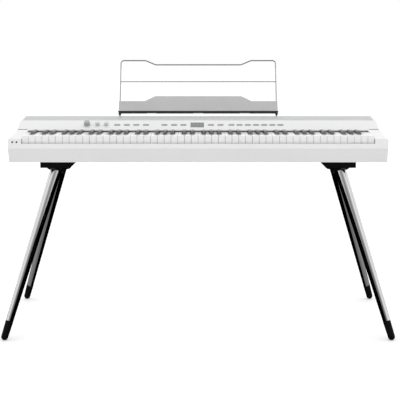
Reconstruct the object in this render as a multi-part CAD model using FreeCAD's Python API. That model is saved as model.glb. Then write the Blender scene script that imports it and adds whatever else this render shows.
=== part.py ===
import FreeCAD, Part
import math
import os

# Digital piano on a four-leg stand.  Millimetres, +Z up, +X to the player's right, +Y away from
# the player.  The floor is Z = 0 and the origin is under the middle of the case.
# Case parts are drawn in a case frame (x, y behind the front nose, z above the case underside)
# and moved into place by in_case().

# ---- Driving sizes ----
white_count = 52                # white keys, A0 to C8
white_pitch = 23.5              # spacing of the white keys
cheek_width = 46.0              # closed block of the case at each end of the keys
end_gap = 1.0                   # cheek to the first and last key slots
case_depth = 308.0              # front nose to rear wall
case_height = 138.0             # underside to the rear top edge
stand_height = 598.0            # floor to the case underside

wall = 3.0                      # moulded wall of both case halves
band_wall = 4.5                 # thicker roof that carries the grille
side_draft = 1.5                # each side of the lower case narrows by this towards the underside
side_lean = 0.17                # the sides of the upper case lean in by this much per mm of height
corner_radius = 8.0             # vertical corners of the case
edge_round = 3.0                # rounding along the outer top edges

key_gap = 1.0                   # air between neighbouring white keys
key_body = 28.0                 # height of a white key moulding
key_shell = 2.5                 # wall of a hollow key
key_front_show = 27.0           # white key front that shows above the slip
black_side_gap = 1.3            # sharp to the edge of its slot
black_rise_front = 12.0         # sharp above the white tops at its front
black_rise_rear = 9.0           # and at its rear
key_travel_deg = 2.6            # key rotation from rest to the front felt
pivot_air = 0.05                # knife edge to the key notch
felt_air = 0.25                 # lowest key edge to the front felt at full travel
felt_thickness = 3.0

button_width = 22.5
button_depth = 8.5
button_proud = 1.5              # button top above the panel at rest
button_travel = 1.2
button_air = 0.35               # button to panel hole, all round
button_x = (-293.5, -258.5, -224.5, -189.5, -122.5, -87.5, -53.5, 46.5,
            81.0, 120.5, 150.0, 180.0, 210.0, 239.5, 269.0, 298.5)
knob_sizes = {                  # name: (x, radius, height)
    "volume_knob": (-403.0, 11.25, 15.0),
    "tone_knob_1": (-365.0, 8.0, 12.0),
    "tone_knob_2": (-333.0, 8.0, 12.0),
}
control_share = 0.545           # row of the controls, as a share of the way up the panel
knob_shaft_r = 3.0
shaft_air = 0.05                # running fit of a knob shaft in its bushing
display_x = -3.5
display_width = 48.0
display_length = 32.0
display_air = 0.3

jack_inset = (30.0, 15.0)        # headphone jacks, outward from the inner face of the left cheek
jack_bore_r = 3.2               # for a 6.35 mm plug
jack_barrel_r = 4.95

rest_half_width = 291.7         # middle of the stand to the axis of an outer wire
rest_wire_r = 2.4
rest_lean_deg = 25.0
rest_top = 211.0                # ears of the wire frame, along the leaning plane from the bend
rest_dip = 193.8                # middle of the top wire
rest_cross = 125.0              # straight cross wire
shelf_side_top = 45.7
shelf_middle_top = 65.3
shelf_sheet = 1.5
ledge_depth = 33.0
pin_air = 0.1                   # rest pin to its socket, radial

leg_top_x = 502.5
leg_top_y = 82.0                # from the middle of the case depth
leg_foot_x = 667.0
leg_foot_y = 281.0
leg_rear_spread = 17.0          # the rear feet stand this much further out than the front ones
leg_plate_thickness = 23.0
leg_drop = 14.4                 # leg joint below the leg plate, on the leg axis
leg_top_r = 20.0
leg_low_r = 12.7
leg_tube_wall = 2.0
tip_length = 68.0
tip_top_r = 13.25
tip_low_r = 12.0
boss_r = 33.0
stud_r = 5.0
fit_air = 0.05                  # screws, studs and plugs in their holes, radial

# ---- Sizes that follow ----
keys_width = white_count * white_pitch
bay_half = keys_width / 2 + end_gap             # inner face of a cheek
case_half = bay_half + cheek_width
jack_x = [-(bay_half + inset) for inset in jack_inset]
key_front = 0.0455 * case_depth                 # white key fronts
black_front = 0.208 * case_depth
lip_y = 0.5195 * case_depth                     # front edge of the control panel
panel_end_y = 0.6964 * case_depth               # where the panel meets the rear band
pivot_y = 0.7435 * case_depth
key_rear = pivot_y + 15.0
key_top = case_height - 46.5
slip_top = key_top - key_front_show
parting = slip_top - 16.0                       # joint of the two case halves
slip_y = 5.0
cheek_top = slip_top + 16.5
cheek_y = 8.0
lip_high = key_top + 6.5                        # panel surface at its front edge
panel_end_z = case_height - 11.0
key_base = key_top - key_body
pivot_z = key_base + 8.0
panel_angle = math.atan2(panel_end_z - lip_high, panel_end_y - lip_y)
panel_drop = wall / math.cos(panel_angle)       # panel thickness measured upright
panel_mid_y = lip_y + control_share * (panel_end_y - lip_y)
panel_mid_z = lip_high + control_share * (panel_end_z - lip_high)
board_top = -(wall + 5.0)                       # panel board below the panel surface
board_thickness = 1.6
band_slope = (case_height - panel_end_z) / (case_depth - panel_end_y)
grille_half = case_half - 16.0
grille_y0 = panel_end_y + 4.5
grille_y1 = case_depth - 7.0
grille_sheet = 1.2
pin_y = case_depth - 14.0
bend_z = case_height + 11.5                     # where the rest wires leave the vertical
speaker_x = 0.33 * 2 * case_half
speaker_y = case_depth - 42.0
frame_half = bay_half - 4.0
frame_top = key_base - (pivot_y - key_front - 14.0) * math.sin(math.radians(key_travel_deg)) \
    - felt_air - felt_thickness


def band_z(y):
    """Height of the rear band's surface."""
    return panel_end_z + (y - panel_end_y) * band_slope


def box(x0, x1, y0, y1, z0, z1):
    return Part.makeBox(x1 - x0, y1 - y0, z1 - z0, FreeCAD.Vector(x0, y0, z0))


def prism_x(outline, x0, x1):
    """Extrude a closed (y, z) outline along X."""
    points = [FreeCAD.Vector(x0, y, z) for y, z in outline]
    face = Part.Face(Part.makePolygon(points + points[:1]))
    return face.extrude(FreeCAD.Vector(x1 - x0, 0, 0))


def prism_y(outline, y0, y1):
    """Extrude a closed (x, z) outline along Y."""
    points = [FreeCAD.Vector(x, y0, z) for x, z in outline]
    face = Part.Face(Part.makePolygon(points + points[:1]))
    return face.extrude(FreeCAD.Vector(0, y1 - y0, 0))


def prism_z(outline, z0, z1):
    """Extrude a closed (x, y) outline along Z."""
    points = [FreeCAD.Vector(x, y, z0) for x, y in outline]
    face = Part.Face(Part.makePolygon(points + points[:1]))
    return face.extrude(FreeCAD.Vector(0, 0, z1 - z0))


def rod(radius, z0, z1, x=0.0, y=0.0):
    return Part.makeCylinder(radius, z1 - z0, FreeCAD.Vector(x, y, z0))


def join(shapes):
    """Fuse a list of touching shapes into one solid."""
    return shapes[0].multiFuse(shapes[1:]).removeSplitter()


def in_case(shape):
    """Case frame to world."""
    moved = shape.copy()
    moved.translate(FreeCAD.Vector(0, -case_depth / 2, stand_height))
    return moved


def on_panel(shape, x=0.0):
    """Panel frame (x, up the slope, out of the panel) to case frame."""
    turn = FreeCAD.Rotation(FreeCAD.Vector(1, 0, 0), math.degrees(panel_angle))
    spot = FreeCAD.Vector(x, panel_mid_y, panel_mid_z)
    placed = shape.copy()
    placed.Placement = FreeCAD.Placement(spot, turn).multiply(placed.Placement)
    return placed


def on_rest(shape):
    """Rest frame (x, up the leaning plane, out of its front) to case frame."""
    turn = FreeCAD.Rotation(FreeCAD.Vector(1, 0, 0), 90.0 - rest_lean_deg)
    placed = shape.copy()
    placed.Placement = FreeCAD.Placement(FreeCAD.Vector(0, pin_y, bend_z), turn).multiply(placed.Placement)
    return placed


def save(name, shape):
    shape.exportStep("parts/" + name + ".step")
    print(name, len(shape.Solids), shape.isValid(), round(shape.Volume / 1000, 1))


def pill(width, depth, z0, z1):
    """Slab with half-round ends, long side along X."""
    half = (width - depth) / 2
    slab = box(-half, half, -depth / 2, depth / 2, z0, z1)
    return join([slab, rod(depth / 2, z0, z1, -half), rod(depth / 2, z0, z1, half)])


def rounded_plan(half_x, y0, y1, z, radius):
    """Closed wire of a rectangle with rounded corners."""
    r = radius
    k = r * (1 - math.sqrt(0.5))
    corners = [(-half_x, y0, 1, 1), (half_x, y0, -1, 1), (half_x, y1, -1, -1), (-half_x, y1, 1, -1)]
    ends = []
    for index, (x, y, sx, sy) in enumerate(corners):
        along_x = FreeCAD.Vector(x + sx * r, y, z)
        along_y = FreeCAD.Vector(x, y + sy * r, z)
        middle = FreeCAD.Vector(x + sx * k, y + sy * k, z)
        first, last = (along_y, along_x) if index % 2 == 0 else (along_x, along_y)
        ends.append((first, middle, last))
    edges = []
    for index, (first, middle, last) in enumerate(ends):
        edges.append(Part.Arc(first, middle, last).toShape())
        edges.append(Part.makeLine(last, ends[(index + 1) % 4][0]))
    return Part.Wire(edges)


# ---- Case ----
def make_case_bottom():
    low = rounded_plan(case_half - side_draft, 6.0, case_depth - 6.0, 0.0, corner_radius)
    high = rounded_plan(case_half, 0.0, case_depth, parting, corner_radius)
    tray = Part.makeLoft([low, high], True, True)
    low = rounded_plan(case_half - side_draft - wall, 6.0 + wall, case_depth - 6.0 - wall, wall, 5.0)
    high = rounded_plan(case_half - wall, wall, case_depth - wall, parting + 0.01, 5.0)
    tray = tray.cut(Part.makeLoft([low, high], True, True))
    ribs = [box(x - 1.5, x + 1.5, key_front + 6, pivot_y, wall - 0.5, frame_floor())
            for x in rib_positions()]
    posts = [rod(6.0, 0.0, parting, x, y) for x, y in case_screw_spots()]
    pads = [rod(3.5, wall - 0.5, board_floor(), x, y) for x, y in board_spots()]
    tray = tray.multiFuse(ribs + posts + pads)
    holes = [rod(2.0 + fit_air, -1.0, parting + 1, x, y) for x, y in case_screw_spots()]
    holes += [rod(4.3, -1.0, 4.0, x, y) for x, y in case_screw_spots()]
    holes += [rod(2.5 + fit_air, -1.0, wall + 1, x, y) for x, y in leg_screw_spots()]
    return in_case(tray.cut(Part.makeCompound(holes)).removeSplitter())


def frame_floor():
    return 8.0


def board_floor():
    return 8.0


def rib_positions():
    return [f * frame_half for f in (-0.96, -0.66, -0.44, -0.22, 0.0, 0.22, 0.44, 0.66, 0.96)]


def case_screw_spots():
    x = bay_half + cheek_width / 2
    return [(side * x, f * case_depth) for side in (-1, 1) for f in (0.17, 0.5, 0.9)]


def board_spots():
    return [(x, y) for x in (-110.0, 110.0) for y in (case_depth - 50.0, case_depth - 18.0)]


def leg_screw_spots():
    """Screws that hold the leg plates, in the case frame."""
    spots = []
    for side in (-1, 1):
        for x in (leg_top_x - 33.0, leg_top_x + 32.0):
            for y in (-30.0, 30.0):
                spots.append((side * x, case_depth / 2 + y))
    return spots


def cheek_line():
    """Points along the top of a cheek, from its front corner to the control panel."""
    return [(cheek_y + 4, cheek_top + 0.8), (0.12 * case_depth, cheek_top + 1.4),
            (0.227 * case_depth, cheek_top + 5.5), (0.357 * case_depth, cheek_top + 10.0),
            (0.47 * case_depth, cheek_top + 13.8)]


def case_section(inset):
    """Solid with the case's leaning sides, smaller by inset on each side."""
    start = cheek_top - 8.0
    high = case_height + 10.0
    half = case_half - inset
    lean = side_lean * (high - start)
    outline = [(-half, -1.0), (half, -1.0), (half, start), (half - lean, high), (-half + lean, high),
               (-half, start)]
    return prism_y(outline, -1.0, case_depth + 1.0)


def case_outline():
    """Side outline of the upper case: nose, cheek, panel slope and rear band."""
    cheek = cheek_line() + [(lip_y + 6, lip_high + 6 * math.tan(panel_angle))]
    points = [FreeCAD.Vector(-case_half, y, z) for y, z in cheek]
    curve = Part.BSplineCurve()
    rise = FreeCAD.Vector(0, math.cos(panel_angle), math.sin(panel_angle))
    curve.interpolate(Points=points, InitialTangent=FreeCAD.Vector(0, 1, 0.05), FinalTangent=rise)
    corners = [(case_depth, case_height), (case_depth, parting), (0.0, parting), (cheek_y, cheek_top)]
    loop = [points[-1], FreeCAD.Vector(-case_half, panel_end_y, panel_end_z)]
    loop += [FreeCAD.Vector(-case_half, y, z) for y, z in corners]
    loop.append(points[0])
    edges = [Part.makeLine(a, b) for a, b in zip(loop, loop[1:])]
    return Part.Wire([curve.toShape()] + edges)


def rounded_block():
    """Full outline of the upper case with its outer top edges rounded."""
    block = Part.Face(case_outline()).extrude(FreeCAD.Vector(2 * case_half, 0, 0))
    block = block.common(case_section(0.0))
    edges = []
    for edge in block.Edges:
        spot = edge.CenterOfMass
        at_side = abs(spot.x) > bay_half and spot.z > cheek_top + 0.1 and cheek_y < spot.y < case_depth - 1
        across = abs(spot.x) < 1 and spot.z > parting + 1
        at_end = abs(spot.y - cheek_y) < 0.1 or abs(spot.y - case_depth) < 0.1
        if at_side or (across and at_end):
            edges.append(edge)
    return block.makeFillet(edge_round, edges)


def make_case_top():
    body = rounded_block()
    plan = rounded_plan(case_half, 0.0, case_depth, parting - 1, corner_radius)
    body = body.common(Part.Face(plan).extrude(FreeCAD.Vector(0, 0, case_height)))
    knee_z = panel_end_z - 3 * math.tan(panel_angle) - panel_drop
    roof = [(lip_y, lip_high - panel_drop), (panel_end_y - 3, knee_z),
            (panel_end_y + 1, panel_end_z - band_wall),
            (case_depth - wall, case_height - band_wall)]
    inner = [(wall + 0.5, parting - 1), (wall + slip_y - 1, slip_top - wall),
             (key_front - 2.5, slip_top - wall),
             (key_front - 2.5, case_height + 9), (lip_y, case_height + 9)]
    inner += roof + [(case_depth - wall, parting - 1)]
    body = body.cut(prism_x(inner, -bay_half, bay_half))
    body = body.cut(box(-bay_half, bay_half, -1, lip_y, slip_top, case_height + 9))
    hollow = [(wall + 0.5, parting - 1), (cheek_y + wall, cheek_top - wall + 0.5)]
    hollow += [(y, z - 1.14 * wall) for y, z in cheek_line()[1:]]
    hollow += [(panel_end_y - 3, knee_z), (panel_end_y + 1, panel_end_z - band_wall),
               (case_depth - wall, case_height - band_wall), (case_depth - wall, parting - 1)]
    for side in (-1, 1):
        ends = sorted((side * (bay_half + wall), side * (case_half + 1)))
        body = body.cut(prism_x(hollow, ends[0], ends[1]).common(case_section(wall)))
    pillars = []
    for x, y in case_screw_spots():
        pillars.append(rod(5.0, parting, case_height + 5, x, y))
    pillars = [pillar.common(rounded_block()) for pillar in pillars]
    for side in (-1, 1):
        pillars.append(rod(6.0, socket_floor() - 3, band_z(pin_y) - 2, side * rest_half_width, pin_y))
    for x in standoff_positions():
        for v in (-10.2, 10.2):
            pillars.append(on_panel(rod(1.8, board_top, -wall + 0.5, 0, v), x))
    body = body.multiFuse(pillars)
    body = body.cut(Part.makeCompound(case_top_holes()))
    return in_case(body.removeSplitter())


def standoff_positions():
    return (-428.0, -315.0, -155.0, -70.0, 67.0, 105.0, 199.0, 322.0)


def socket_floor():
    """Bottom of the two holes that take the music rest's pins."""
    return case_height - 28.0


def grille_outline(depth, thickness, air):
    """Slab parallel to the rear band, its top that far below the surface."""
    y0, y1 = grille_y0 - air, grille_y1 + air
    z0, z1 = band_z(y0) - depth, band_z(y1) - depth
    return [(y0, z0), (y1, z1), (y1, z1 - thickness), (y0, z0 - thickness)]


def case_top_holes():
    holes = [rod(2.0 + fit_air, parting - 1, parting + 14, x, y) for x, y in case_screw_spots()]
    hole_width, hole_depth = button_width + 2 * button_air, button_depth + 2 * button_air
    for x in button_x:
        holes.append(on_panel(pill(hole_width, hole_depth, -wall - 2, 2), x))
    for x, radius, height in knob_sizes.values():
        holes.append(on_panel(rod(knob_shaft_r + 0.7, -wall - 2, 2), x))
    hx, hy = display_width / 2 + display_air, display_length / 2 + display_air
    holes.append(on_panel(box(-hx, hx, -hy, hy, -wall - 6, 2), display_x))
    recess_half = grille_half + 0.3
    recess = prism_x(grille_outline(-3.0, 3.0 + grille_sheet + 0.1, 0.3), -recess_half, recess_half)
    holes.append(recess)
    for side in (-1, 1):
        slot = pill(110.0, 40.0, case_height - 20, case_height + 5)
        slot.translate(FreeCAD.Vector(side * speaker_x, speaker_y, 0))
        holes.append(slot)
        pin_x = side * rest_half_width
        holes.append(rod(rest_wire_r + pin_air, socket_floor(), case_height + 5, pin_x, pin_y))
    for x in jack_x:
        holes.append(at_jack(rod(jack_barrel_r + fit_air, -8, 4), x))
    holes += [rear_hole(x, r + fit_air) for x, r in rear_sockets()]
    return holes


def jack_slope():
    """Tilt of the upper front facet back from vertical, radians."""
    return math.atan2(cheek_y, cheek_top - parting)


def at_jack(shape, x):
    """Jack frame (z along the plug's way out) to case frame, on the cheek's front facet."""
    z = parting + 0.66 * (cheek_top - parting)
    y = cheek_y * 0.66
    turn = FreeCAD.Rotation(FreeCAD.Vector(1, 0, 0), 90.0 - math.degrees(jack_slope()))
    placed = shape.copy()
    placed.Placement = FreeCAD.Placement(FreeCAD.Vector(x, y, z), turn).multiply(placed.Placement)
    return placed


def rear_sockets():
    """(x, barrel radius) of the power inlet and the pedal jack in the rear wall."""
    return ((520.0, 4.0), (545.0, jack_barrel_r))


def rear_socket_z():
    return parting + 25.0


def rear_rod(x, radius, y0, y1):
    start = FreeCAD.Vector(x, y0, rear_socket_z())
    return Part.makeCylinder(radius, y1 - y0, start, FreeCAD.Vector(0, 1, 0))


def rear_hole(x, radius):
    return rear_rod(x, radius, case_depth - wall - 2, case_depth + 2)


def make_grille():
    plate = prism_x(grille_outline(0.0, grille_sheet, 0.0), -grille_half, grille_half)
    for side in (-1, 1):
        plate = plate.cut(rod(rest_wire_r + 1.2, case_height - 20, case_height + 5,
                              side * rest_half_width, pin_y))
    return in_case(plate)


def make_case_screws():
    screws = [rod(4.0, 1.0, 4.0, x, y).fuse(rod(2.0, 4.0, parting + 12, x, y)).removeSplitter()
              for x, y in case_screw_spots()]
    return in_case(Part.makeCompound(screws))


# ---- Keys ----
def make_key_frame():
    floor = frame_floor()
    web = 4.0
    shelf = key_base - 0.1 - felt_thickness
    outline = [
        (key_front, floor), (key_rear + 2, floor), (key_rear + 2, floor + 3), (pivot_y + web / 2, floor + 3),
        (pivot_y + web / 2, shelf - 3), (key_rear + 2, shelf - 3), (key_rear + 2, shelf),
        (pivot_y + web / 2, shelf), (pivot_y + web / 2, pivot_z - 6), (pivot_y, pivot_z - pivot_air),
        (pivot_y - web / 2, pivot_z - 6), (pivot_y - web / 2, floor + 3), (rail_y() + 1.5, floor + 3),
        (rail_y() + 1.5, frame_top - 3), (rail_y() + 12, frame_top - 3), (rail_y() + 12, frame_top),
        (rail_y() - 12, frame_top), (rail_y() - 12, frame_top - 3), (rail_y() - 1.5, frame_top - 3),
        (rail_y() - 1.5, floor + 3), (key_front, floor + 3),
    ]
    body = prism_x(outline, -frame_half, frame_half)
    bosses = [rod(6.0, wall, floor + 3, x, y) for x, y in leg_screw_spots()]
    body = body.multiFuse(bosses)
    holes = [rod(2.5 + fit_air, wall - 1, floor + 4, x, y) for x, y in leg_screw_spots()]
    return in_case(body.cut(Part.makeCompound(holes)).removeSplitter())


def rail_y():
    """Middle of the front rail under the white key heads."""
    return key_front + 26.0


def make_front_felt():
    half = frame_half - 2
    return in_case(box(-half, half, rail_y() - 12, rail_y() + 12, frame_top, frame_top + felt_thickness))


def make_rear_felt():
    half = frame_half - 2
    top = key_base - 0.1
    return in_case(box(-half, half, pivot_y + 8.5, key_rear + 1.5, top - felt_thickness, top))


def tail_outline(y0, z_top):
    """Side outline of a key's rear part with the notch that sits on the knife edge."""
    rise = pivot_z - key_base
    return [(y0, key_base), (pivot_y - rise, key_base), (pivot_y, pivot_z), (pivot_y + rise, key_base),
            (key_rear, key_base), (key_rear, z_top), (y0, z_top)]


def white_key(x0, x1, tail0, tail1):
    """Hollow white key: slot edges of its head and of its tail."""
    head0, head1 = x0 + key_gap / 2, x1 - key_gap / 2
    t0 = head0 if tail0 == x0 else tail0 + key_gap / 2
    t1 = head1 if tail1 == x1 else tail1 - key_gap / 2
    shoulder = black_front - 1.5
    head = box(head0, head1, key_front, shoulder, key_base, key_top)
    body = head.fuse(prism_x(tail_outline(shoulder, key_top), t0, t1)).removeSplitter()
    s = key_shell
    pocket = box(head0 + s, head1 - s, key_front + s, shoulder - s, key_base - 1, key_top - s)
    pocket = pocket.fuse(box(t0 + s, t1 - s, shoulder - s - 1, pivot_y - 12, key_base - 1, key_top - s))
    return body.cut(pocket.removeSplitter())


def black_key(slot0, slot1):
    """Hollow sharp: straight body under a tapered cap that ends just in front of the panel."""
    x0, x1 = slot0 + black_side_gap, slot1 - black_side_gap
    body_top = key_top - 4.0
    body = prism_x(tail_outline(black_front, body_top), x0, x1)
    rear = lip_y - 1.6
    side = [(black_front, body_top), (rear, body_top), (rear - 0.7, key_top + black_rise_rear),
            (black_front + 6.0, key_top + black_rise_front)]
    cap = prism_x(side, x0, x1)
    taper = 1.0
    top = key_top + black_rise_front
    end = [(x0, body_top), (x1, body_top), (x1 - taper, top), (x0 + taper, top)]
    cap = cap.common(prism_y(end, black_front - 1, rear + 1))
    s = key_shell
    pocket = box(x0 + s, x1 - s, black_front + s, pivot_y - 12, key_base - 1, body_top - s)
    return body.fuse(cap).removeSplitter().cut(pocket)


def slot_edges():
    """Slot edges inside one octave, from the left edge of C: name to (left, right)."""
    near = 3 * white_pitch / 5
    far = 4 * white_pitch / 7
    start = 3 * white_pitch
    edges = {}
    for index, name in enumerate(("c", "c_sharp", "d", "d_sharp", "e")):
        edges[name] = (index * near, (index + 1) * near)
    for index, name in enumerate(("f", "f_sharp", "g", "g_sharp", "a", "a_sharp", "b")):
        edges[name] = (start + index * far, start + (index + 1) * far)
    return edges


def make_keys(name):
    """All keys of one note name; they come from the same mould."""
    edges = slot_edges()
    keys = []
    for number in range(0, 8):
        left = -keys_width / 2 + (2 + 7 * (number - 1)) * white_pitch
        tail0, tail1 = [left + v for v in edges[name]]
        if name.endswith("_sharp"):
            if number > 0 or name == "a_sharp":
                keys.append(black_key(tail0, tail1))
            continue
        if number == 0 and name != "b":
            continue
        index = "cdefgab".index(name)
        x0 = left + index * white_pitch
        x1 = x0 + white_pitch
        if name in "cf":
            tail0 = x0
        if name in "eb":
            tail1 = x1
        keys.append(white_key(x0, x1, tail0, tail1))
    return in_case(Part.makeCompound(keys))


def make_first_key():
    """A0: its tail is straight on the left because no sharp stands there."""
    left = -keys_width / 2
    right = slot_edges()["a"][1] - 5 * white_pitch
    return in_case(white_key(left, left + white_pitch, left, left + right))


def make_last_key():
    """C8: a plain key without a cut-out."""
    right = keys_width / 2
    return in_case(white_key(right - white_pitch, right, right - white_pitch, right))


# ---- Controls ----
def make_button(x):
    flange_top = -wall - 0.1
    cap = pill(button_width, button_depth, flange_top - 0.5, button_proud)
    top_edges = [e for e in cap.Edges if e.BoundBox.ZMin > button_proud - 0.01]
    cap = cap.makeFillet(0.6, top_edges)
    flange = box(-button_width / 2 - 1.3, button_width / 2 + 1.3, -6.0, 6.0, flange_top - 1.0, flange_top)
    stem = rod(2.0, button_foot(), flange_top - 0.5)
    return in_case(on_panel(join([cap, flange, stem]), x))


def button_foot():
    return -wall - 2.2


def make_knob(x, radius, height):
    skirt = Part.makeCone(radius, radius * 0.9, height, FreeCAD.Vector(0, 0, 0.6))
    rim = [e for e in skirt.Edges if e.BoundBox.ZMin > height]
    skirt = skirt.makeFillet(1.2, rim)
    shaft = rod(knob_shaft_r, board_top + 0.2, 1.0)
    mark = box(-0.6, 0.6, radius * 0.35, radius * 0.8, height + 0.2, height + 2)
    return in_case(on_panel(join([skirt, shaft]).cut(mark), x))


def make_panel_board():
    x0, x1 = -435.0, 330.0
    parts = [box(x0, x1, -13.0, 13.0, board_top - board_thickness, board_top)]
    for x in button_x:
        parts.append(box(x - 3, x + 3, -3, 3, board_top - 0.2, button_foot() - button_travel - 0.1))
    for x, radius, height in knob_sizes.values():
        parts.append(rod(5.0, board_top - 0.2, -wall - 0.3, x))
    board = join(parts)
    bores = [rod(knob_shaft_r + shaft_air, board_top, 0.0, x) for x, radius, height in knob_sizes.values()]
    return in_case(on_panel(board.cut(Part.makeCompound(bores))))


def make_display_lens():
    hx, hy = display_width / 2, display_length / 2
    return in_case(on_panel(box(-hx, hx, -hy, hy, -2.2, -0.3), display_x))


def make_display_module():
    hx, hy = display_width / 2 - 0.5, display_length / 2 - 0.5
    module = box(-hx, hx, -hy, hy, board_top, -2.2)
    return in_case(on_panel(module, display_x))


def make_headphone_jacks():
    jacks = []
    for x in jack_x:
        bezel = rod(6.4, 0.0, 0.8)
        barrel = rod(jack_barrel_r, -4.0, 0.5)
        housing = box(-6.0, 6.0, -6.0, 6.5, -27.0, -3.6)
        shell = join([bezel, barrel, housing])
        jacks.append(at_jack(shell.cut(rod(jack_bore_r, -25.0, 1.0)), x))
    return in_case(Part.makeCompound(jacks))


def make_jack_board():
    y1 = case_depth + 0.0
    z = rear_socket_z()
    parts = [box(505.0, 560.0, y1 - 30, y1 - wall - 1, z - 7.6, z - 6.0)]
    for x, radius in rear_sockets():
        parts.append(box(x - 6, x + 6, y1 - 28, y1 - wall - 0.5, z - 6.2, z + 6))
        parts.append(rear_rod(x, radius, y1 - wall - 1, y1 + 0.4))
    bores = [rear_rod(520.0, 2.75, y1 - 12, y1 + 1), rear_rod(545.0, jack_bore_r, y1 - 26, y1 + 1)]
    board = join(parts).cut(Part.makeCompound(bores))
    return in_case(board.fuse(rear_rod(520.0, 1.0, y1 - 12.5, y1 - 1)).removeSplitter())


def make_main_board():
    y0, y1 = case_depth - 56.0, case_depth - 12.0
    z = board_floor()
    parts = [box(-120, 120, y0, y1, z, z + 1.6)]
    for x, w, d, h in ((-80, 22, 22, 2.6), (-30, 14, 14, 2.2), (10, 30, 16, 3.0), (70, 24, 24, 12.0)):
        parts.append(box(x - w / 2, x + w / 2, y0 + 22 - d / 2, y0 + 22 + d / 2, z + 1.5, z + 1.6 + h))
    return in_case(join(parts))


def make_speaker(side):
    """Oval driver screwed up against the underside of the band."""
    top = band_z(speaker_y - 27) - band_wall
    flange = pill(124.0, 54.0, -2.0, 0.0)
    cone = Part.makeLoft([oval_wire(108.0, 38.0, -1.5), oval_wire(38.0, 37.8, -20.0)], True, True)
    magnet = rod(18.5, -34.0, -19.5)
    driver = join([flange, cone, magnet])
    dish = Part.makeLoft([oval_wire(104.0, 34.0, 0.1), oval_wire(34.0, 33.8, -17.0)], True, True)
    driver = driver.cut(dish)
    turn = FreeCAD.Rotation(FreeCAD.Vector(1, 0, 0), math.degrees(math.atan(band_slope)))
    spot = FreeCAD.Vector(side * speaker_x, speaker_y, top + 27 * band_slope)
    driver.Placement = FreeCAD.Placement(spot, turn)
    return in_case(driver)


def oval_wire(width, depth, z):
    half = max((width - depth) / 2, 0.1)
    r = depth / 2
    points = [FreeCAD.Vector(-half, -r, z), FreeCAD.Vector(half, -r, z), FreeCAD.Vector(half + r, 0, z),
              FreeCAD.Vector(half, r, z), FreeCAD.Vector(-half, r, z), FreeCAD.Vector(-half - r, 0, z)]
    sides = [Part.makeLine(points[0], points[1]), Part.makeLine(points[3], points[4])]
    ends = [Part.Arc(points[i], points[i + 1], points[(i + 2) % 6]).toShape() for i in (1, 4)]
    return Part.Wire([sides[0], ends[0], sides[1], ends[1]])


# ---- Music rest ----
def rounded_path(corners, radius):
    """Wire through the corners with a bend of the given radius at each inner one."""
    points = [FreeCAD.Vector(*c) for c in corners]
    edges = []
    start = points[0]
    for before, here, after in zip(points, points[1:], points[2:]):
        a = (before - here).normalize()
        b = (after - here).normalize()
        angle = a.getAngle(b)
        reach = radius / math.tan(angle / 2)
        middle = (a + b).normalize() * (radius / math.sin(angle / 2) - radius)
        edges.append(Part.makeLine(start, here + a * reach))
        edges.append(Part.Arc(here + a * reach, here + middle, here + b * reach).toShape())
        start = here + b * reach
    edges.append(Part.makeLine(start, points[-1]))
    return Part.Wire(edges)


def bent_wire(corners, radius, wire_r):
    path = rounded_path(corners, radius)
    first = path.Edges[0]
    start = FreeCAD.Vector(*corners[0])
    heading = FreeCAD.Vector(*corners[1]) - start
    circle = Part.Wire(Part.makeCircle(wire_r, start, heading))
    return path.makePipeShell([circle], True, False)


def rest_point(x, distance):
    """Point on the leaning plane, in the case frame."""
    lean = math.radians(rest_lean_deg)
    return (x, pin_y + distance * math.sin(lean), bend_z + distance * math.cos(lean))


def make_rest_wire():
    x = rest_half_width
    ear = 0.682 * x
    valley = 0.552 * x
    low = (x, pin_y, socket_floor() + 0.05)
    corners = [(-x, low[1], low[2]), rest_point(-x, 0.0), rest_point(-x, rest_top),
               rest_point(-ear, rest_top),
               rest_point(-valley, rest_dip), rest_point(valley, rest_dip), rest_point(ear, rest_top),
               rest_point(x, rest_top), rest_point(x, 0.0), low]
    loop = bent_wire(corners, 12.0, rest_wire_r)
    a, b = rest_point(-x, rest_cross), rest_point(x, rest_cross)
    cross = Part.makeCylinder(rest_wire_r - 0.5, 2 * x, FreeCAD.Vector(*a), FreeCAD.Vector(1, 0, 0))
    return in_case(loop.fuse(cross).removeSplitter())


def make_rest_shelf():
    """Bent sheet: ledge with a short upturned lip, leaning plate and a rolled hem on each outer wire."""
    x = rest_half_width
    ear = 0.682 * x
    valley = 0.552 * x
    near = rest_wire_r + fit_air
    far = near + shelf_sheet
    sheet_back = near + 0.3
    foot = x + 5.0
    side = x + far - 0.7
    outline = [(-foot, 0.0), (foot, 0.0), (side, shelf_side_top - 14), (side, shelf_side_top),
               (ear, shelf_side_top), (valley, shelf_middle_top), (-valley, shelf_middle_top),
               (-ear, shelf_side_top), (-side, shelf_side_top), (-side, shelf_side_top - 14)]
    plate = prism_z(outline, sheet_back, sheet_back + shelf_sheet)
    hem = rod(far + 0.55, 14.0, shelf_side_top - 1).cut(rod(near, 13.0, shelf_side_top + 1))
    hems = [hem.copy() for turn in (0, 1)]
    turned = []
    for sign, hem in zip((-1, 1), hems):
        hem.rotate(FreeCAD.Vector(0, 0, 0), FreeCAD.Vector(1, 0, 0), -90)
        hem.translate(FreeCAD.Vector(sign * x, 0, 0))
        turned.append(hem)
    leaning = on_rest(join([plate] + turned))
    lean = math.radians(rest_lean_deg)
    y_back = pin_y - sheet_back / math.cos(lean)
    y_front = pin_y - ledge_depth
    ledge = box(-foot, foot, y_front, y_back - 1.0, bend_z, bend_z + shelf_sheet)
    lip = box(-foot + 3, foot - 3, y_front, y_front + shelf_sheet, bend_z, bend_z + 8.0)
    knee = prism_x([(y_back - 3.0, bend_z), (y_back - 0.2, bend_z), (y_back + 0.35, bend_z + 1.5),
                    (y_back - 1.2, bend_z + 3.0), (y_back - 3.0, bend_z + 1.5)], -foot, foot)
    return in_case(join([leaning, ledge, lip, knee]))


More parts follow.
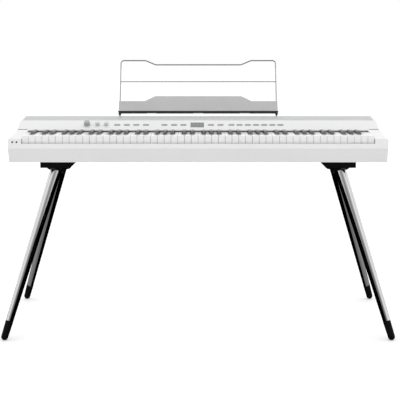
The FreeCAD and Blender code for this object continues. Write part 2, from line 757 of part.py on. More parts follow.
def make_rest_trim():
    """Rubber edge strip over the lip, and a tapered collar under the ledge on each pin."""
    foot = rest_half_width + 5.0
    y = pin_y - ledge_depth
    top = bend_z + 10.0
    air = fit_air
    outline = [(y - 2.0, bend_z), (y - air, bend_z), (y - air, bend_z + 8.0 + air),
               (y + shelf_sheet + air, bend_z + 8.0 + air),
               (y + shelf_sheet + air, bend_z + shelf_sheet + air),
               (y + shelf_sheet + 1.5, bend_z + shelf_sheet + air), (y + shelf_sheet + 1.5, top),
               (y - 2.0, top)]
    strip = prism_x(outline, -foot, foot)
    ends = [(-foot, bend_z + 11), (foot, bend_z + 11), (foot - 5.0, bend_z - 1), (-foot + 5.0, bend_z - 1)]
    strip = strip.common(prism_y(ends, y - 5, y + 8))
    for x in (-172.0, 0.0, 172.0):
        strip = strip.cut(box(x - 18, x + 18, y - 3, y - air / 2, bend_z - 1, bend_z + 2.2))
    parts = [strip]
    for side in (-1, 1):
        x = side * rest_half_width
        spot = FreeCAD.Vector(x, pin_y, bend_z - 9.4)
        collar = Part.makeCone(rest_wire_r + 1.0, 6.4, 9.4, spot)
        bore = Part.makeCone(rest_wire_r + fit_air, rest_wire_r + 0.4, 9.4, spot)
        parts.append(collar.cut(bore))
    return in_case(Part.makeCompound(parts))


# ---- Stand ----
def leg_axis(sx, sy):
    """Start point on the leg joint and unit direction down the leg, in the world."""
    top = FreeCAD.Vector(sx * leg_top_x, sy * leg_top_y, stand_height - leg_plate_thickness - leg_drop)
    spread = leg_foot_x + (leg_rear_spread if sy > 0 else 0.0)
    foot = FreeCAD.Vector(sx * spread, sy * leg_foot_y, 0)
    return top, (foot - top).normalize(), (foot - top).Length


def along_leg(shape, sx, sy):
    """Leg frame (z down the leg from its joint) to world."""
    top, direction, length = leg_axis(sx, sy)
    placed = shape.copy()
    turn = FreeCAD.Rotation(FreeCAD.Vector(0, 0, 1), direction)
    placed.Placement = FreeCAD.Placement(top, turn).multiply(placed.Placement)
    return placed


def make_leg_plate(side):
    """Cast plate under the case with two angled round bosses for the legs."""
    top = stand_height
    low = stand_height - leg_plate_thickness
    half = case_depth / 2 - 33.0
    inner, outer = leg_top_x - 70.0, leg_top_x + 49.0
    outline = [(side * inner, top), (side * outer, top), (side * outer, low), (side * (inner + 14.0), low)]
    plate = prism_y(outline, -half, half)
    keep = box(-900, 900, -half, half, 0, top)
    bosses = [along_leg(rod(boss_r, -45.0, 0.0), side, sy).common(keep) for sy in (-1, 1)]
    body = join([plate] + bosses)
    holes = [along_leg(rod(stud_r + fit_air, -20.0, 1.0), side, sy) for sy in (-1, 1)]
    for x, y in leg_screw_spots():
        if x * side > 0:
            holes.append(rod(2.5 + fit_air, low - 1, top + 1, x, y - case_depth / 2))
    return body.cut(Part.makeCompound(holes))


def make_leg(sx, sy):
    """Tapered tube with a threaded plug welded in its top."""
    top, direction, length = leg_axis(sx, sy)
    run = length - tip_length
    t = leg_tube_wall
    tube = Part.makeCone(leg_top_r, leg_low_r, run)
    slope = (leg_top_r - leg_low_r) / run
    bore = Part.makeCone(leg_top_r - t - 16 * slope, leg_low_r - t, run - 16.0, FreeCAD.Vector(0, 0, 16.0))
    tube = tube.cut(bore).cut(rod(stud_r + fit_air, -1.0, 17.0))
    return along_leg(tube, sx, sy)


def make_leg_studs():
    studs = [along_leg(rod(stud_r, -19.0, 15.0), sx, sy) for sx in (-1, 1) for sy in (-1, 1)]
    return Part.makeCompound(studs)


def make_tip(sx, sy):
    """Black end piece: plug, slightly tapered sleeve and a round foot with a small flat."""
    top, direction, length = leg_axis(sx, sy)
    start = length - tip_length
    centre_drop = (tip_low_r - 0.5) / -direction.z
    end = length - centre_drop
    sleeve = Part.makeCone(tip_top_r, tip_low_r, end - start, FreeCAD.Vector(0, 0, start))
    plug = rod(leg_low_r - leg_tube_wall - fit_air, start - 22.0, start + 1)
    ball = Part.makeSphere(tip_low_r, FreeCAD.Vector(0, 0, end))
    tip = along_leg(join([sleeve, plug, ball]), sx, sy)
    return tip.cut(box(-900, 900, -400, 400, -20, 0))


def make_leg_screws():
    low = -leg_plate_thickness
    screws = []
    for x, y in leg_screw_spots():
        head = rod(5.0, low - 3.0, low, x, y)
        screws.append(head.fuse(rod(2.5, low, frame_floor() + 3.5, x, y)).removeSplitter())
    return in_case(Part.makeCompound(screws))


def main():
    os.makedirs("parts", exist_ok=True)
    save("case_bottom", make_case_bottom())
    save("case_top", make_case_top())
    save("speaker_grille", make_grille())
    save("case_screws", make_case_screws())
    save("key_frame", make_key_frame())
    save("key_front_felt", make_front_felt())
    save("key_rear_felt", make_rear_felt())
    for name in slot_edges():
        save("key_" + name, make_keys(name))
    save("key_first", make_first_key())
    save("key_last", make_last_key())
    for number, x in enumerate(button_x, 1):
        save("button_%02d" % number, make_button(x))
    for name, (x, radius, height) in knob_sizes.items():
        save(name, make_knob(x, radius, height))
    save("panel_board", make_panel_board())
    save("display_lens", make_display_lens())
    save("display_module", make_display_module())
    save("headphone_jacks", make_headphone_jacks())
    save("jack_board", make_jack_board())
    save("main_board", make_main_board())
    save("speaker_left", make_speaker(-1))
    save("speaker_right", make_speaker(1))
    save("rest_wire", make_rest_wire())
    save("rest_shelf", make_rest_shelf())
    save("rest_trim", make_rest_trim())
    corners = {"front_left": (-1, -1), "front_right": (1, -1), "rear_left": (-1, 1), "rear_right": (1, 1)}
    save("leg_plate_left", make_leg_plate(-1))
    save("leg_plate_right", make_leg_plate(1))
    for name, (sx, sy) in corners.items():
        save("leg_" + name, make_leg(sx, sy))
    save("leg_tips", Part.makeCompound([make_tip(sx, sy) for sx, sy in corners.values()]))
    save("leg_studs", make_leg_studs())
    save("leg_screws", make_leg_screws())


main()
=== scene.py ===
import math

import bmesh
import bpy
from mathutils import Matrix, Vector


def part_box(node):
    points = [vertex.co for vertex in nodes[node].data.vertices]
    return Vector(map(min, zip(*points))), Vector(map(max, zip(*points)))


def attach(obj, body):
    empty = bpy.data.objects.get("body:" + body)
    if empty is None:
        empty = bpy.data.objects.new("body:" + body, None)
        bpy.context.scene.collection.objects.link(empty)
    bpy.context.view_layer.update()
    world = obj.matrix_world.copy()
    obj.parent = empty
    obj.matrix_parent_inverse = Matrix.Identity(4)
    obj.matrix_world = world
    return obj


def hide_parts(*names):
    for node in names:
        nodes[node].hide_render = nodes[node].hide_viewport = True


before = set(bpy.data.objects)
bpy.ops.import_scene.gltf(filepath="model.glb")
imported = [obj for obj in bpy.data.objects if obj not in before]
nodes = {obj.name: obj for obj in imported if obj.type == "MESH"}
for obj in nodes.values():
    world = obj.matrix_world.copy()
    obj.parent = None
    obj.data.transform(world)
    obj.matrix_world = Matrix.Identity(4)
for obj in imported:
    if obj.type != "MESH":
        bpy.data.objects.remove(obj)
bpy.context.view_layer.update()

scene = bpy.context.scene
MM = 0.001


# ---------------------------------------------------------------- materials
class Shader:
    """A principled material with its node tree and a few short helpers."""

    def __init__(self, name, color, roughness, metallic=0.0, specular=0.5, coat=0.0):
        self.mat = bpy.data.materials.new(name)
        self.mat.use_nodes = True
        self.mat.diffuse_color = (*color, 1.0)
        self.tree = self.mat.node_tree
        self.bsdf = self.tree.nodes["Principled BSDF"]
        self.set("Base Color", (*color, 1.0))
        self.set("Roughness", roughness)
        self.set("Metallic", metallic)
        self.set("Specular IOR Level", specular)
        self.set("Coat Weight", coat)
        self.set("Coat Roughness", 0.12)
        self.coords = self.node("ShaderNodeTexCoord").outputs["Object"]

    def set(self, socket, value):
        self.bsdf.inputs[socket].default_value = value

    def node(self, kind, **inputs):
        made = self.tree.nodes.new(kind)
        for key, value in inputs.items():
            made.inputs[key.replace("_", " ")].default_value = value
        return made

    def link(self, a, b):
        self.tree.links.new(a, b)

    def scaled(self, scale):
        """Object coordinates stretched per axis."""
        mapping = self.node("ShaderNodeMapping", Scale=scale)
        self.link(self.coords, mapping.inputs["Vector"])
        return mapping.outputs["Vector"]

    def noise(self, size, detail=3.0, vector=None, roughness=0.5):
        """Noise whose features are about size metres across."""
        tex = self.node("ShaderNodeTexNoise", Scale=1.0 / size, Detail=detail, Roughness=roughness)
        self.link(vector or self.coords, tex.inputs["Vector"])
        return tex.outputs["Fac"]

    def ramp(self, value, low, high, span=(0.3, 0.7)):
        """Map a 0..1 value to a colour or a grey between low and high."""
        ramp = self.node("ShaderNodeValToRGB")
        first, last = ramp.color_ramp.elements
        first.position, last.position = span
        first.color = (*low, 1.0) if isinstance(low, tuple) else (low, low, low, 1.0)
        last.color = (*high, 1.0) if isinstance(high, tuple) else (high, high, high, 1.0)
        self.link(value, ramp.inputs["Fac"])
        return ramp.outputs["Color"]

    def bump(self, height, depth, strength=1.0):
        """Stack a bump of the given depth in metres on what is there already."""
        bump = self.node("ShaderNodeBump", Strength=strength, Distance=depth)
        normal = self.bsdf.inputs["Normal"]
        if normal.is_linked:
            self.link(normal.links[0].from_socket, bump.inputs["Normal"])
        self.link(height, bump.inputs["Height"])
        self.link(bump.outputs["Normal"], normal)

    def tint(self, color, spread, size, vector=None):
        """Vary the colour around its mean by a noise of that size."""
        low = tuple(max(0.0, c * (1.0 - spread)) for c in color)
        high = tuple(min(1.0, c * (1.0 + spread)) for c in color)
        self.link(self.ramp(self.noise(size, 4.0, vector), low, high), self.bsdf.inputs["Base Color"])

    def gloss_range(self, low, high, size, vector=None):
        self.link(self.ramp(self.noise(size, 4.0, vector), low, high), self.bsdf.inputs["Roughness"])


def plastic(name, color, rough, grain=0.00035, depth=0.00002, spread=0.012, coat=0.0, specular=0.5):
    """Moulded plastic: fine grain, faint flow marks in the colour and handling haze in the gloss."""
    s = Shader(name, color, sum(rough) / 2, specular=specular, coat=coat)
    s.tint(color, spread, 0.09)
    s.gloss_range(rough[0], rough[1], 0.03)
    s.bump(s.noise(grain, 2.0), depth, 0.6)
    s.bump(s.noise(0.06, 2.0), 0.00006, 0.25)
    return s.mat


def make_materials():
    m = {}
    m["case_upper"] = plastic("case_white_satin", (0.87, 0.87, 0.87), (0.34, 0.46))
    # the case's white darkened on the lower shell: painted shade for its down-facing front facet; the coarser
    # grain bump is its real texture
    m["case_lower"] = plastic("case_white_textured_painted_shade", (0.755, 0.755, 0.757), (0.45, 0.58), 0.0006, 0.00005)
    m["key_white"] = plastic("key_ivory_white", (0.91, 0.91, 0.905), (0.16, 0.26),
                             0.0004, 0.000006, 0.008, 0.3)
    # black keys lightened to a dark grey: painted reflection standing in for the sheen on their tops
    m["key_black"] = plastic("key_satin_black_painted_sheen", (0.16, 0.16, 0.163), (0.3, 0.42), 0.0005, 0.00002, 0.15, 0.25)
    m["button"] = plastic("button_grey", (0.36, 0.37, 0.38), (0.38, 0.5), 0.0003, 0.00001, 0.03)
    m["knob"] = plastic("knob_grey", (0.46, 0.465, 0.47), (0.3, 0.42), 0.0003, 0.00001, 0.03)
    m["knob_pale"] = plastic("knob_pale_grey", (0.74, 0.74, 0.745), (0.3, 0.42), 0.0003, 0.00001, 0.02)
    m["black_plastic"] = plastic("moulded_black", (0.008, 0.008, 0.008), (0.4, 0.55), 0.0005, 0.00003, 0.2)
    m["tip"] = plastic("leg_tip_black", (0.004, 0.004, 0.004), (0.45, 0.6), 0.0005, 0.00003, 0.2, 0.0, 0.1)
    m["frame_plastic"] = plastic("frame_dark_grey", (0.06, 0.06, 0.065), (0.5, 0.65), 0.0008, 0.00004, 0.1)

    s = Shader("grille_painted_mesh", (0.6, 0.61, 0.62), 0.42, metallic=0.0)
    s.tint((0.6, 0.61, 0.62), 0.03, 0.02)
    s.gloss_range(0.36, 0.5, 0.01)
    s.bump(s.noise(0.0004, 2.0), 0.00002, 0.7)
    m["grille"] = s.mat

    s = Shader("grille_cloth", (0.02, 0.02, 0.02), 0.95)
    weave = s.node("ShaderNodeTexWave", Scale=900.0, Distortion=1.0)
    s.link(s.coords, weave.inputs["Vector"])
    s.tint((0.03, 0.03, 0.032), 0.3, 0.004)
    s.bump(weave.outputs["Fac"], 0.0003, 0.8)
    m["cloth"] = s.mat

    s = Shader("leg_polished_chrome", (0.78, 0.79, 0.8), 0.07, metallic=1.0)
    s.gloss_range(0.05, 0.11, 0.012, s.scaled((1.0, 1.0, 0.12)))
    s.tint((0.78, 0.785, 0.795), 0.02, 0.05)
    s.bump(s.noise(0.02, 3.0, s.scaled((1.0, 1.0, 0.1))), 0.00004, 0.2)
    m["chrome"] = s.mat

    s = Shader("rest_wire_satin_chrome", (0.5, 0.505, 0.51), 0.25, metallic=1.0)
    s.gloss_range(0.2, 0.34, 0.01)
    s.bump(s.noise(0.0012, 3.0), 0.00002, 0.5)
    m["wire"] = s.mat

    s = Shader("rest_sheet_painted", (0.58, 0.58, 0.582), 0.4, metallic=0.0, coat=0.15)
    s.tint((0.58, 0.58, 0.582), 0.04, 0.15)
    s.gloss_range(0.32, 0.48, 0.02)
    s.bump(s.noise(0.0007, 3.0), 0.00003, 0.7)
    m["rest_sheet"] = s.mat

    s = Shader("trim_rubber", (0.018, 0.018, 0.018), 0.7)
    s.tint((0.03, 0.03, 0.03), 0.25, 0.01)
    s.gloss_range(0.6, 0.8, 0.006)
    s.bump(s.noise(0.0006, 3.0), 0.00006, 0.7)
    m["rubber"] = s.mat

    s = Shader("plate_black_powder_coat", (0.004, 0.004, 0.004), 0.5, specular=0.12)
    s.tint((0.004, 0.004, 0.004), 0.2, 0.05)
    s.gloss_range(0.42, 0.6, 0.01)
    s.bump(s.noise(0.0009, 3.0), 0.00008, 0.8)
    m["powder_black"] = s.mat

    s = Shader("plated_steel", (0.55, 0.55, 0.56), 0.3, metallic=1.0)
    s.gloss_range(0.22, 0.42, 0.002)
    s.bump(s.noise(0.0005, 3.0), 0.00003, 0.6)
    m["steel"] = s.mat

    s = Shader("felt_red", (0.3, 0.05, 0.05), 0.95)
    s.set("Sheen Weight", 0.5)
    s.tint((0.3, 0.05, 0.05), 0.25, 0.003)
    s.bump(s.noise(0.0008, 5.0), 0.0004, 0.9)
    m["felt"] = s.mat

    s = Shader("circuit_board_green", (0.02, 0.14, 0.06), 0.35, coat=0.3)
    brick = s.node("ShaderNodeTexBrick", Scale=240.0)
    s.link(s.coords, brick.inputs["Vector"])
    s.link(s.ramp(brick.outputs["Fac"], (0.02, 0.12, 0.05), (0.05, 0.24, 0.1)), s.bsdf.inputs["Base Color"])
    s.bump(brick.outputs["Fac"], 0.00005, 0.6)
    m["board"] = s.mat

    s = Shader("display_grey", (0.17, 0.175, 0.175), 0.3)
    s.tint((0.17, 0.175, 0.175), 0.03, 0.01)
    grid = s.node("ShaderNodeTexChecker", Scale=1600.0)
    s.link(s.coords, grid.inputs["Vector"])
    s.bump(grid.outputs["Fac"], 0.00001, 0.3)
    s.gloss_range(0.24, 0.36, 0.004)
    m["display"] = s.mat

    s = Shader("display_lens_clear", (0.95, 0.97, 0.97), 0.04)
    s.set("Transmission Weight", 0.0)
    s.set("Alpha", 0.12)
    s.gloss_range(0.02, 0.07, 0.01)
    s.bump(s.noise(0.02, 2.0), 0.00001, 0.2)
    m["lens"] = s.mat

    s = Shader("speaker_paper", (0.02, 0.02, 0.02), 0.8)
    s.tint((0.03, 0.03, 0.03), 0.3, 0.002)
    s.gloss_range(0.7, 0.9, 0.003)
    s.bump(s.noise(0.0012, 5.0), 0.0002, 0.8)
    m["paper"] = s.mat
    return m


MATERIALS = make_materials()


def paint(obj, material):
    """Give an object one material in every slot."""
    obj.data.materials.clear()
    obj.data.materials.append(material)
    for polygon in obj.data.polygons:
        polygon.material_index = 0


# ---------------------------------------------------------------- mesh helpers
def new_piece(name, mesh, body, material, stands_for=()):
    obj = bpy.data.objects.new(name, mesh)
    scene.collection.objects.link(obj)
    paint(obj, material)
    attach(obj, body)
    if stands_for:
        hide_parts(*stands_for)
    return obj


def clean_copy(node):
    """Bmesh of a CAD node with welded points and whole flat faces."""
    bm = bmesh.new()
    bm.from_mesh(nodes[node].data)
    bmesh.ops.remove_doubles(bm, verts=bm.verts, dist=1e-6)
    bmesh.ops.dissolve_limit(bm, angle_limit=math.radians(0.5), verts=bm.verts, edges=bm.edges)
    return bm


def shade(obj, angle):
    """Smooth shading that stays sharp across edges over the angle."""
    for polygon in obj.data.polygons:
        polygon.use_smooth = True
    obj.data.set_sharp_from_angle(angle=math.radians(angle))


def rounded_copy(node, name, body, material, width, segments=2, angle=40.0):
    """The CAD shape with its edges rounded."""
    bm = clean_copy(node)
    edges = [e for e in bm.edges if len(e.link_faces) == 2 and e.calc_face_angle(0.0) > math.radians(angle)]
    bmesh.ops.bevel(bm, geom=edges, offset=width, segments=segments, profile=0.5, affect="EDGES",
                    clamp_overlap=True)
    mesh = bpy.data.meshes.new(name)
    bm.to_mesh(mesh)
    bm.free()
    obj = new_piece(name, mesh, body, material, (node,))
    shade(obj, 35.0)
    return obj


# ---------------------------------------------------------------- keys
WHITE_KEY_ROUNDING = 0.6 * MM
BLACK_KEY_ROUNDING = 0.9 * MM


def make_keys():
    for node in sorted(nodes):
        if not node.startswith("key_") or node in ("key_frame", "key_front_felt", "key_rear_felt"):
            continue
        black = node.endswith("_sharp")
        rounded_copy(node, "keys_" + node[4:], node,
                     MATERIALS["key_black" if black else "key_white"],
                     BLACK_KEY_ROUNDING if black else WHITE_KEY_ROUNDING, 3)


# ---------------------------------------------------------------- control panel
KNOB_HEIGHTS = {"volume_knob": 15.0 * MM, "tone_knob_1": 12.0 * MM, "tone_knob_2": 12.0 * MM}
KNOB_SEGMENTS = 96
FLUTE_DEPTH = 0.35 * MM
SHAFT_RADIUS = 3.0 * MM
POINTER_HALF_WIDTH = 0.55 * MM
POINTER_POINTS = 16
BUTTON_ROUNDING = 0.5 * MM


def panel_normal():
    """Outward normal of the control panel, from the display lens."""
    face = max(nodes["display_lens"].data.polygons, key=lambda polygon: polygon.area)
    normal = face.normal.copy()
    return normal if normal.z > 0 else -normal


NORMAL = panel_normal()
ALONG = Vector((1.0, 0.0, 0.0))
UPHILL = NORMAL.cross(ALONG)


def span(points, direction):
    values = [point.dot(direction) for point in points]
    return min(values), max(values)


def add_lathe(bm, profile, segments, knurl=0.0, start=0, stop=0):
    """Solid of revolution about z; rings start to stop have their radius knurled."""
    rings = []
    for i, (radius, z) in enumerate(profile):
        ring = []
        for k in range(segments):
            r = radius - (knurl if start <= i <= stop and k % 4 in (1, 2) else 0.0)
            angle = 2 * math.pi * k / segments
            ring.append(bm.verts.new((r * math.cos(angle), r * math.sin(angle), z)))
        rings.append(ring)
    for lower, upper in zip(rings, rings[1:]):
        for k in range(segments):
            n = (k + 1) % segments
            bm.faces.new((lower[k], lower[n], upper[n], upper[k]))
    bm.faces.new(list(reversed(rings[0])))
    bm.faces.new(rings[-1])


def finish_mesh(name, bm, place=None):
    bmesh.ops.recalc_face_normals(bm, faces=bm.faces)
    if place is not None:
        bmesh.ops.transform(bm, matrix=place, verts=bm.verts)
    mesh = bpy.data.meshes.new(name)
    bm.to_mesh(mesh)
    bm.free()
    return mesh


def make_knob(node, material):
    """Fluted knob with a dished cap, its shaft, and a pointer line inlaid in the cap."""
    points = [vertex.co for vertex in nodes[node].data.vertices]
    low, high = span(points, NORMAL)
    lo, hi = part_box(node)
    radius = (hi.x - lo.x) / 2
    cap = [point for point in points if point.dot(NORMAL) > high - 0.3 * MM]
    v0, v1 = span(cap, UPHILL)
    origin = ALONG * (lo.x + radius) + UPHILL * ((v0 + v1) / 2)
    axes = Matrix((ALONG, UPHILL, NORMAL)).transposed().to_4x4()
    place = Matrix.Translation(origin) @ axes
    base = high - KNOB_HEIGHTS[node]
    top = high - 0.25 * MM
    bm = bmesh.new()
    skirt = [(radius - 0.3 * MM, base), (radius, base + 0.3 * MM), (radius, base + 1.6 * MM),
             (radius * 0.96, base + 2.2 * MM), (radius * 0.95, base + 2.8 * MM),
             (radius * 0.9, top - 1.2 * MM),
             (radius * 0.9 - 0.35 * MM, top - 0.35 * MM), (radius * 0.9 - 1.2 * MM, top),
             (radius * 0.6, top - 0.12 * MM), (radius * 0.2, top - 0.3 * MM)]
    add_lathe(bm, skirt, KNOB_SEGMENTS, FLUTE_DEPTH, 4, 5)
    shaft = [(SHAFT_RADIUS - 0.3 * MM, low), (SHAFT_RADIUS, low + 0.3 * MM), (SHAFT_RADIUS, base - 0.01 * MM)]
    add_lathe(bm, shaft, 24)
    mesh = finish_mesh(node + "_body", bm, place)
    body = new_piece(node + "_body", mesh, node, material, (node,))
    shade(body, 28.0)
    bm = bmesh.new()
    outline = []
    for k in range(POINTER_POINTS):
        angle = 2 * math.pi * k / POINTER_POINTS
        end = radius * 0.78 if math.cos(angle) > 0 else radius * 0.38
        outline.append((POINTER_HALF_WIDTH * math.sin(angle), end + POINTER_HALF_WIDTH * math.cos(angle)))
    lower = [bm.verts.new((x, y, top - 0.5 * MM)) for x, y in outline]
    upper = [bm.verts.new((x, y, high)) for x, y in outline]
    bm.faces.new(lower)
    bm.faces.new(upper)
    for k in range(POINTER_POINTS):
        n = (k + 1) % POINTER_POINTS
        bm.faces.new((lower[k], lower[n], upper[n], upper[k]))
    new_piece(node + "_pointer", finish_mesh(node + "_pointer", bm, place), node,
              MATERIALS["case_upper"])


def make_controls():
    make_knob("volume_knob", MATERIALS["knob"])
    make_knob("tone_knob_1", MATERIALS["knob_pale"])
    make_knob("tone_knob_2", MATERIALS["knob_pale"])
    for node in sorted(nodes):
        if node.startswith("button_"):
            rounded_copy(node, node + "_cap", node, MATERIALS["button"], BUTTON_ROUNDING, 3)


# ---------------------------------------------------------------- speaker grille
GRILLE_PITCH = 6.0 * MM
GRILLE_HOLE = 1.35 * MM          # radius
GRILLE_SHEET = 0.7 * MM          # thickness
PIN_PATCH = 9 * MM               # plain sheet this near a pin of the music rest
CLOTH_GAP = 0.05 * MM
CLOTH_THICKNESS = 0.3 * MM
CLOTH_INSET = 3 * MM
CLOTH_COLUMNS = 160
CLOTH_SAG = 0.04 * MM


def make_grille():
    """Perforated sheet over dark cloth, both in the recess of the rear band.

    Each cell of the sheet is a square with eight border points, shared with its neighbours, and an
    eight-sided hole. Cells on the rim and round the pins of the music rest have no hole.
    """
    points = [vertex.co for vertex in nodes["speaker_grille"].data.vertices]
    lo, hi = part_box("speaker_grille")
    front_top = max((p for p in points if p.y < lo.y + 0.01 * MM), key=lambda p: p.z)
    rear_top = max((p for p in points if p.y > hi.y - 0.01 * MM), key=lambda p: p.z)
    slope = Vector((0.0, rear_top.y - front_top.y, rear_top.z - front_top.z))
    depth = slope.length
    slope.normalize()
    normal = ALONG.cross(slope)
    columns = round((hi.x - lo.x) / GRILLE_PITCH)
    rows = round(depth / GRILLE_PITCH)
    step_x, step_v = (hi.x - lo.x) / columns, depth / rows
    origin = Vector((lo.x, front_top.y, front_top.z))
    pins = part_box("rest_wire")
    bm = bmesh.new()

    def sheet(level):
        """Border points of every cell, one layer of the sheet."""
        grid = {}
        for i in range(2 * columns + 1):
            for j in range(2 * rows + 1):
                if i % 2 and j % 2:
                    continue
                at = origin + ALONG * (i * step_x / 2) + slope * (j * step_v / 2) - normal * level
                grid[i, j] = bm.verts.new(at)
        return grid

    layers = [sheet(0.0), sheet(GRILLE_SHEET)]
    around = ((-1, -1), (0, -1), (1, -1), (1, 0), (1, 1), (0, 1), (-1, 1), (-1, 0))
    for i in range(columns):
        for j in range(rows):
            centre = origin + ALONG * ((i + 0.5) * step_x) + slope * ((j + 0.5) * step_v)
            beside_pin = min(abs(centre.x - pins[0].x), abs(centre.x - pins[1].x)) < PIN_PATCH
            near_pin = beside_pin and abs(centre.y - pins[0].y) < PIN_PATCH
            solid = j in (0, rows - 1) or i in (0, columns - 1) or near_pin
            rings = []
            for level, grid in zip((0.0, GRILLE_SHEET), layers):
                border = [grid[2 * i + 1 + di, 2 * j + 1 + dj] for di, dj in around]
                if solid:
                    bm.faces.new(border)
                    continue
                ring = []
                for di, dj in around:
                    reach = GRILLE_HOLE / math.hypot(di, dj)
                    across = ALONG * (di * reach) + slope * (dj * reach)
                    ring.append(bm.verts.new(centre + across - normal * level))
                rings.append(ring)
                for k in range(8):
                    n = (k + 1) % 8
                    bm.faces.new((border[k], border[n], ring[n], ring[k]))
            if not solid:
                for k in range(8):
                    n = (k + 1) % 8
                    bm.faces.new((rings[0][k], rings[0][n], rings[1][n], rings[1][k]))
    rim = [(i, 0) for i in range(2 * columns)] + [(2 * columns, j) for j in range(2 * rows)]
    rim += [(i, 2 * rows) for i in range(2 * columns, 0, -1)] + [(0, j) for j in range(2 * rows, 0, -1)]
    for k in range(len(rim)):
        a, b = rim[k], rim[(k + 1) % len(rim)]
        bm.faces.new((layers[0][a], layers[0][b], layers[1][b], layers[1][a]))
    obj = new_piece("grille_sheet", finish_mesh("grille_sheet", bm), "case", MATERIALS["grille"],
                    ("speaker_grille",))
    shade(obj, 30.0)
    bm = bmesh.new()
    inset = CLOTH_INSET
    count = CLOTH_COLUMNS
    cloth_top = GRILLE_SHEET + CLOTH_GAP
    rings = []
    for level in (cloth_top, cloth_top + CLOTH_THICKNESS):
        edge = []
        for i in range(count + 1):
            x = lo.x + inset + (hi.x - lo.x - 2 * inset) * i / count
            sag = CLOTH_SAG * (1 + math.sin(i * 0.7))
            for v in (inset, depth - inset):
                start = Vector((x, origin.y, origin.z))
                edge.append(bm.verts.new(start + slope * v - normal * (level + sag)))
        rings.append(edge)
        for i in range(count):
            bm.faces.new((edge[2 * i], edge[2 * i + 2], edge[2 * i + 3], edge[2 * i + 1]))
    for i in range(count):
        for side in (0, 1):
            a, b = 2 * i + side, 2 * i + 2 + side
            bm.faces.new((rings[0][a], rings[0][b], rings[1][b], rings[1][a]))
    for i in (0, count):
        bm.faces.new((rings[0][2 * i], rings[0][2 * i + 1], rings[1][2 * i + 1], rings[1][2 * i]))
    new_piece("grille_cloth", finish_mesh("grille_cloth", bm), "case", MATERIALS["cloth"])


# ---------------------------------------------------------------- headphone jacks
def paint_jacks():
    """Black jacks whose bezels have the case's colour."""
    mesh = nodes["headphone_jacks"].data
    mesh.materials.append(MATERIALS["case_upper"])
    facing = [polygon for polygon in mesh.polygons if polygon.normal.y < -0.3]
    axis = max(facing, key=lambda polygon: polygon.center.dot(polygon.normal)).normal.copy()
    up = axis.cross(ALONG)
    front = max(vertex.co.dot(axis) for vertex in mesh.vertices)
    rim = [vertex.co for vertex in mesh.vertices if vertex.co.dot(axis) > front - 0.1 * MM]
    low, high = span(rim, up)
    lo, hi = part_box("headphone_jacks")
    half = (high - low) / 2
    for polygon in mesh.polygons:
        x = min(abs(polygon.center.x - lo.x - half), abs(polygon.center.x - hi.x + half))
        radius = math.hypot(x, polygon.center.dot(up) - (low + high) / 2)
        if radius > 3.3 * MM and polygon.center.dot(axis) > front - 0.9 * MM:
            polygon.material_index = 1


# ---------------------------------------------------------------- CAD nodes that stay
KEPT = {
    "case_top": "case_upper", "case_bottom": "case_lower", "case_screws": "steel",
    "key_frame": "frame_plastic",
    "key_front_felt": "felt", "key_rear_felt": "felt", "panel_board": "board", "main_board": "board",
    "jack_board": "black_plastic", "display_lens": "lens", "display_module": "display",
    "headphone_jacks": "black_plastic", "speaker_left": "paper", "speaker_right": "paper",
    "rest_wire": "wire", "rest_shelf": "rest_sheet", "rest_trim": "rubber", "leg_plate_left": "powder_black",
    "leg_plate_right": "powder_black", "leg_front_left": "chrome", "leg_front_right": "chrome",
    "leg_rear_left": "chrome", "leg_rear_right": "chrome", "leg_tips": "tip", "leg_studs": "steel",
    "leg_screws": "steel",
}


def paint_cad():
    for node, material in KEPT.items():
        paint(nodes[node], MATERIALS[material])
    for node in ("rest_shelf", "rest_trim"):      # they would darken the grille behind them
        nodes[node].visible_diffuse = False
        nodes[node].visible_glossy = False


# ---------------------------------------------------------------- stage: camera, floor, light
CAMERA_AT = (0.0066, -3.6, 1.025)
CAMERA_LOOKS_DOWN = 9.2045       # degrees
CAMERA_LENS = 90.28
CAMERA_SENSOR = 36.0


def make_camera():
    data = bpy.data.cameras.new("camera")
    data.sensor_width = CAMERA_SENSOR
    data.lens = CAMERA_LENS
    cam = bpy.data.objects.new("camera", data)
    scene.collection.objects.link(cam)
    cam.location = CAMERA_AT
    cam.rotation_euler = (math.radians(90.0 - CAMERA_LOOKS_DOWN), 0.0, 0.0)
    scene.camera = cam


# brightness of the studio against a direction's up (z) or back (y) part, from -1 to 1
SOFT_BY_HEIGHT = ((-1.0, 0.80), (1.0, 1.26))
SOFT_BY_DEPTH = ((-1.0, 0.57), (1.0, 1.05), (0.0, 1.0))
GLOSS_BY_DEPTH = ((-1.0, 0.02), (1.0, 0.02), (-0.985, 0.08), (-0.9, 0.3), (-0.7, 0.75), (-0.45, 1.1),
                  (0.0, 0.7), (0.6, 0.4), (0.9, 0.1))
GLOSS_BY_HEIGHT = ((-1.0, 0.15), (1.0, 1.0), (-0.5, 0.25), (-0.2, 0.5), (0.02, 0.9))
REAR_BY_HEIGHT = ((-1.0, 0.0), (1.0, 1.0), (0.0, 0.0), (0.06, 1.0))


def math_node(tree, operation, *values):
    """Math node fed by sockets or numbers."""
    node = tree.nodes.new("ShaderNodeMath")
    node.operation = operation
    for i, value in enumerate(values):
        if isinstance(value, (int, float)):
            node.inputs[i].default_value = value
        else:
            tree.links.new(value, node.inputs[i])
    return node.outputs[0]


def curve_node(tree, value, low, high, stops):
    """Grey curve: value between low and high looked up in stops of (value, grey)."""
    spread = tree.nodes.new("ShaderNodeMapRange")
    tree.links.new(value, spread.inputs["Value"])
    spread.inputs["From Min"].default_value = low
    spread.inputs["From Max"].default_value = high
    node = tree.nodes.new("ShaderNodeValToRGB")
    ramp = node.color_ramp
    for i, (at, grey) in enumerate(stops):
        position = (at - low) / (high - low)
        element = ramp.elements[i] if i < 2 else ramp.elements.new(position)
        element.position = position
        element.color = (grey, grey, grey, 1)
    tree.links.new(spread.outputs["Result"], node.inputs["Fac"])
    return node.outputs["Color"]


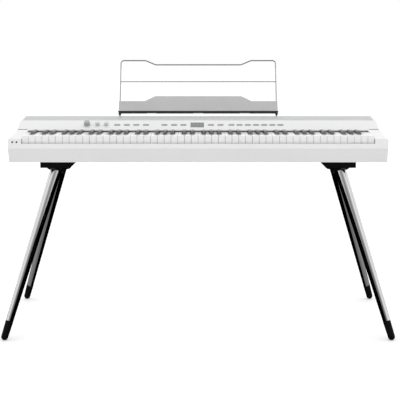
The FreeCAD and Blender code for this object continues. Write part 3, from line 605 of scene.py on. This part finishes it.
def make_world():
    """White studio: even light for soft surfaces, a darker floor and camera side in polished ones."""
    world = bpy.data.worlds.new("studio")
    scene.world = world
    world.use_nodes = True
    tree = world.node_tree
    tree.nodes.clear()
    out = tree.nodes.new("ShaderNodeOutputWorld")
    coords = tree.nodes.new("ShaderNodeTexCoord")
    split = tree.nodes.new("ShaderNodeSeparateXYZ")
    tree.links.new(coords.outputs["Generated"], split.inputs[0])
    up, back = split.outputs["Z"], split.outputs["Y"]
    soft = tree.nodes.new("ShaderNodeBackground")
    soft_value = math_node(tree, "MULTIPLY", curve_node(tree, up, -1.0, 1.0, SOFT_BY_HEIGHT),
                           curve_node(tree, back, -1.0, 1.0, SOFT_BY_DEPTH))
    tree.links.new(soft_value, soft.inputs["Color"])
    banded = math_node(tree, "MULTIPLY", curve_node(tree, back, -1.0, 1.0, GLOSS_BY_DEPTH),
                       curve_node(tree, up, -1.0, 1.0, GLOSS_BY_HEIGHT))
    behind = curve_node(tree, back, -0.2, 0.2, ((-0.2, 0.0), (0.2, 1.0)))
    wall = math_node(tree, "MULTIPLY", curve_node(tree, up, -1.0, 1.0, REAR_BY_HEIGHT), behind)
    gloss_value = math_node(tree, "MAXIMUM", banded, wall)
    gloss = tree.nodes.new("ShaderNodeBackground")
    tree.links.new(gloss_value, gloss.inputs["Color"])
    seen = tree.nodes.new("ShaderNodeBackground")
    seen.inputs["Color"].default_value = (1.0, 1.0, 1.0, 1.0)
    path = tree.nodes.new("ShaderNodeLightPath")
    first = tree.nodes.new("ShaderNodeMixShader")
    tree.links.new(path.outputs["Is Glossy Ray"], first.inputs[0])
    tree.links.new(soft.outputs[0], first.inputs[1])
    tree.links.new(gloss.outputs[0], first.inputs[2])
    second = tree.nodes.new("ShaderNodeMixShader")
    tree.links.new(path.outputs["Is Camera Ray"], second.inputs[0])
    tree.links.new(first.outputs[0], second.inputs[1])
    tree.links.new(seen.outputs[0], second.inputs[2])
    tree.links.new(second.outputs[0], out.inputs["Surface"])


def flat_quad(name, corners):
    mesh = bpy.data.meshes.new(name)
    mesh.from_pydata(corners, [], [(0, 1, 2, 3)])
    obj = bpy.data.objects.new(name, mesh)
    scene.collection.objects.link(obj)
    return obj


def make_stage():
    floor = flat_quad("floor", [(-30, -30, 0), (30, -30, 0), (30, 30, 0), (-30, 30, 0)])
    s = Shader("floor_white", (0.86, 0.86, 0.86), 0.8)
    s.set("Emission Color", (1, 1, 1, 1))
    s.set("Emission Strength", 0.2)
    s.set("Specular IOR Level", 0.0)
    s.tint((0.86, 0.86, 0.86), 0.01, 0.6)
    floor.data.materials.append(s.mat)
    floor.visible_glossy = False
    # seen only in reflections: it darkens the inner side of each chromed leg
    card = flat_quad("dark_card", [(0, -8, -3), (0, 8, -3), (0, 8, 0.6), (0, -8, 0.6)])
    card.visible_camera = False
    card.visible_diffuse = False
    card.visible_shadow = False
    card.visible_transmission = False
    card.data.materials.append(Shader("card_black", (0.0, 0.0, 0.0), 1.0, specular=0.0).mat)


make_keys()
make_controls()
make_grille()
paint_cad()
paint_jacks()
make_camera()
make_world()
make_stage()
scene.view_settings.view_transform = "Standard"
